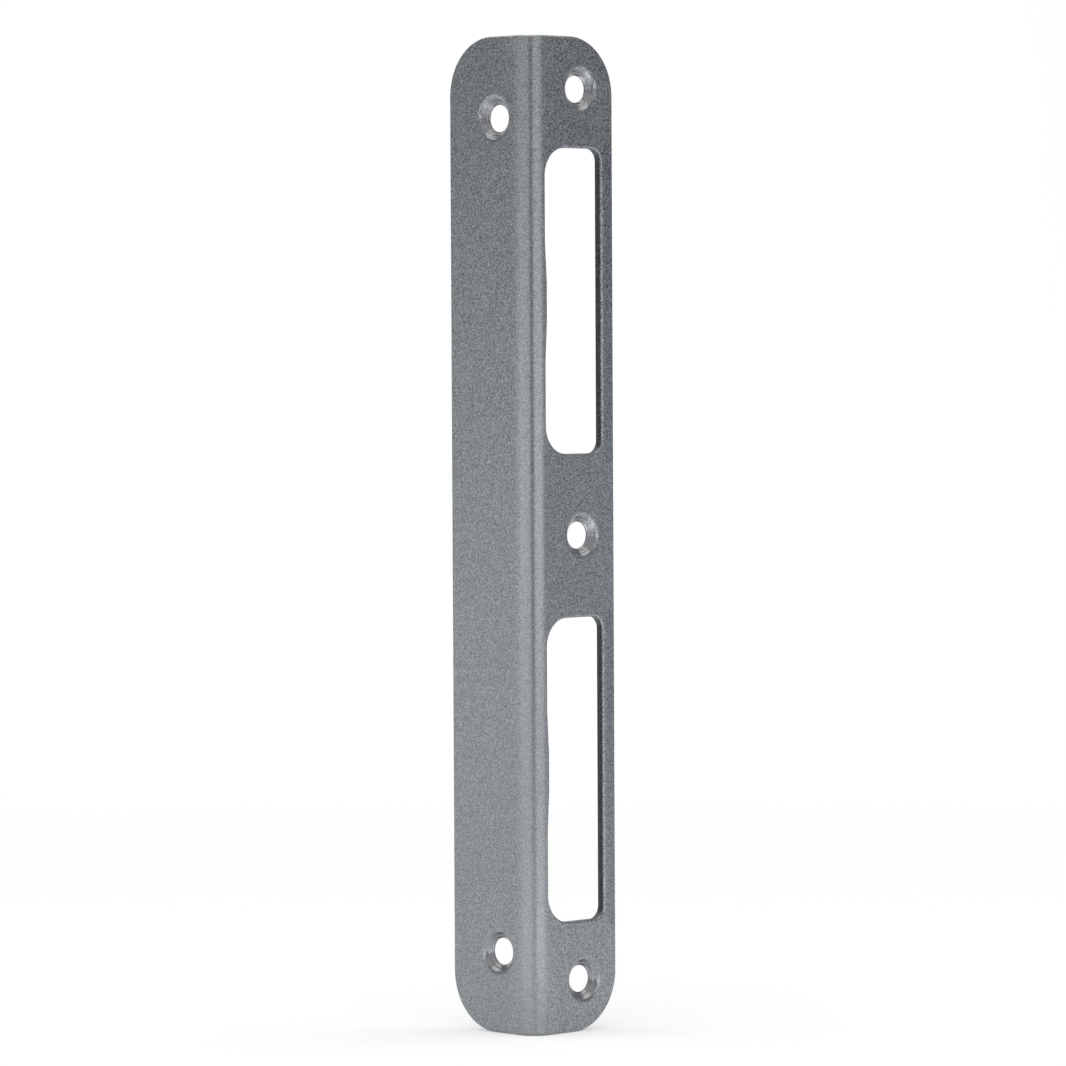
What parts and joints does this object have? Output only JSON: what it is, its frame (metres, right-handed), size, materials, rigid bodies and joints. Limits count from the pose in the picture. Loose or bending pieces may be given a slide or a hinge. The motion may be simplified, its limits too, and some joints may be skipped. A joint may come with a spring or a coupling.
{
  "type": "door strike plate",
  "caption": "Long folded sheet-steel angle strike plate for a door frame, with latch and bolt windows in one leg and countersunk screw holes in both.",
  "frame": {"origin": "centre of the window leg's middle screw hole, on the inner face that seats against the door frame", "axes": "+Z along the plate's length, +X from the fold to the window leg's free edge, +Y from the window leg's outer face into the door frame"},
  "size_m": [0.0198, 0.0198, 0.17],
  "materials": {
    "zinc_plated_steel": "fine matt bright zinc on cold-rolled sheet, smoother in the pressed countersinks"
  },
  "bodies": {
    "root": {"strike_plate": "zinc_plated_steel"}
  },
  "joints": []
}
